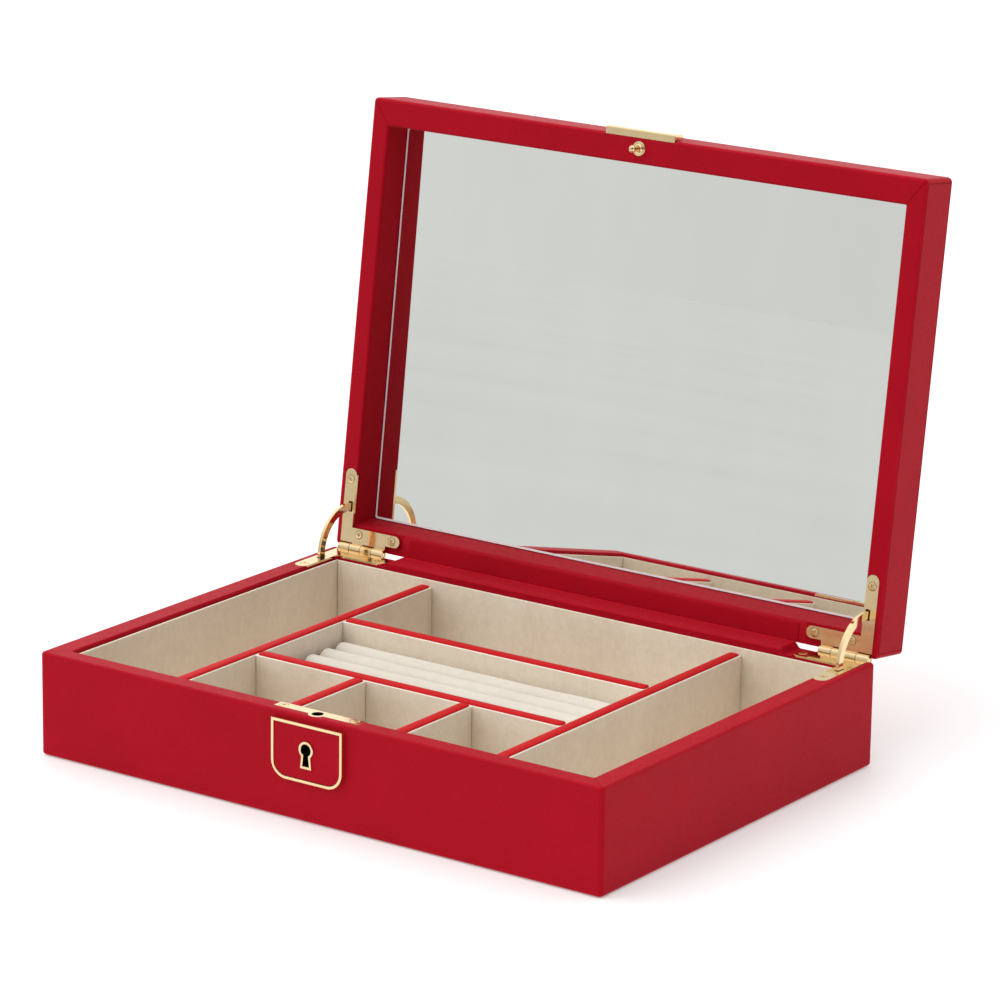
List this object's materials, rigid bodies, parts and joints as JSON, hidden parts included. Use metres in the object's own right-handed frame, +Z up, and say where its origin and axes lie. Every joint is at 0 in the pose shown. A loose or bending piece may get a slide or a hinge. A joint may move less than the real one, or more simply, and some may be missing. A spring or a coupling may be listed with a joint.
{
  "type": "leather jewellery case",
  "caption": "Flat rectangular leather case that stores jewellery in suede-lined compartments and ring rolls, under a hinged mirror lid with a small lock.",
  "frame": {"origin": "middle of the base's underside, on the surface the case rests on", "axes": "+X to the right along the case's width, -Y towards the front with the lock, +Z up"},
  "size_m": [0.267, 0.2387, 0.2342],
  "materials": {
    "red_leather": "smooth fine-grained calf, semi-matt",
    "strip_leather": "smooth skived calf, semi-matt",
    "beige_suede": "short-nap suede",
    "cream_suede": "short-nap suede",
    "base_felt": "leather-fibre base pad, matt",
    "gilt_brass": "polished gilt",
    "lock_steel": "plain",
    "mirror": "silvered glass with a polished edge",
    "backing_board": "raw board"
  },
  "bodies": {
    "base": {"base_case": "red_leather", "bottom_pad": "base_felt", "floor_liner": "beige_suede", "front_liner": "beige_suede", "back_liner": "beige_suede", "left_liner": "beige_suede", "right_liner": "beige_suede", "left_long_divider": "beige_suede", "right_long_divider": "beige_suede", "rear_cross_divider": "beige_suede", "front_cross_divider": "beige_suede", "left_short_divider": "beige_suede", "right_short_divider": "beige_suede", "left_long_strip": "strip_leather", "right_long_strip": "strip_leather", "rear_cross_strip": "strip_leather", "front_cross_strip": "strip_leather", "left_short_strip": "strip_leather", "right_short_strip": "strip_leather", "ring_roll_1": "cream_suede", "ring_roll_2": "cream_suede", "ring_roll_3": "cream_suede", "ring_roll_4": "cream_suede", "ring_roll_5": "cream_suede", "escutcheon_frame": "gilt_brass", "escutcheon_inlay": "red_leather", "keyhole_trim": "gilt_brass", "lock_case": "lock_steel", "lock_top_plate": "gilt_brass", "lock_screw_1": "gilt_brass", "lock_screw_2": "gilt_brass", "left_base_leaf": "gilt_brass", "right_base_leaf": "gilt_brass", "left_base_leaf_screw_1": "gilt_brass", "left_base_leaf_screw_2": "gilt_brass", "left_base_leaf_screw_3": "gilt_brass", "right_base_leaf_screw_1": "gilt_brass", "right_base_leaf_screw_2": "gilt_brass", "right_base_leaf_screw_3": "gilt_brass", "left_hinge_pin": "gilt_brass", "right_hinge_pin": "gilt_brass"},
    "lid": {"lid_case": "red_leather", "mirror_glass": "mirror", "mirror_backing": "backing_board", "lift_plate": "gilt_brass", "latch_pin": "gilt_brass", "left_lid_leaf": "gilt_brass", "right_lid_leaf": "gilt_brass", "left_lid_leaf_screw_1": "gilt_brass", "left_lid_leaf_screw_2": "gilt_brass", "left_lid_leaf_screw_3": "gilt_brass", "right_lid_leaf_screw_1": "gilt_brass", "right_lid_leaf_screw_2": "gilt_brass", "right_lid_leaf_screw_3": "gilt_brass"},
    "left_arm": {"left_stay_arm": "gilt_brass"},
    "right_arm": {"right_stay_arm": "gilt_brass"},
    "bolt": {"lock_bolt": "lock_steel"}
  },
  "joints": [
    {"name": "lid_hinge", "type": "hinge", "parent": "base", "child": "lid", "pos_m": [0, 0.0956, 0.04275], "axis": [1, 0, 0], "range_deg": [0, 97.64]},
    {"name": "left_arm_swing", "type": "hinge", "parent": "base", "child": "left_arm", "pos_m": [-0.1273, 0.0956, 0.04275], "axis": [1, 0, 0], "range_deg": [0, 48.83]},
    {"name": "right_arm_swing", "type": "hinge", "parent": "base", "child": "right_arm", "pos_m": [0.1273, 0.0956, 0.04275], "axis": [1, 0, 0], "range_deg": [0, 48.83]},
    {"name": "bolt_slide", "type": "slide", "parent": "base", "child": "bolt", "axis": [1, 0, 0], "range_m": [0, 0.004]}
  ],
  "couplings": [
    {"joint": "left_arm_swing", "follows": "lid_hinge", "ratio": 0.5},
    {"joint": "right_arm_swing", "follows": "lid_hinge", "ratio": 0.5}
  ]
}
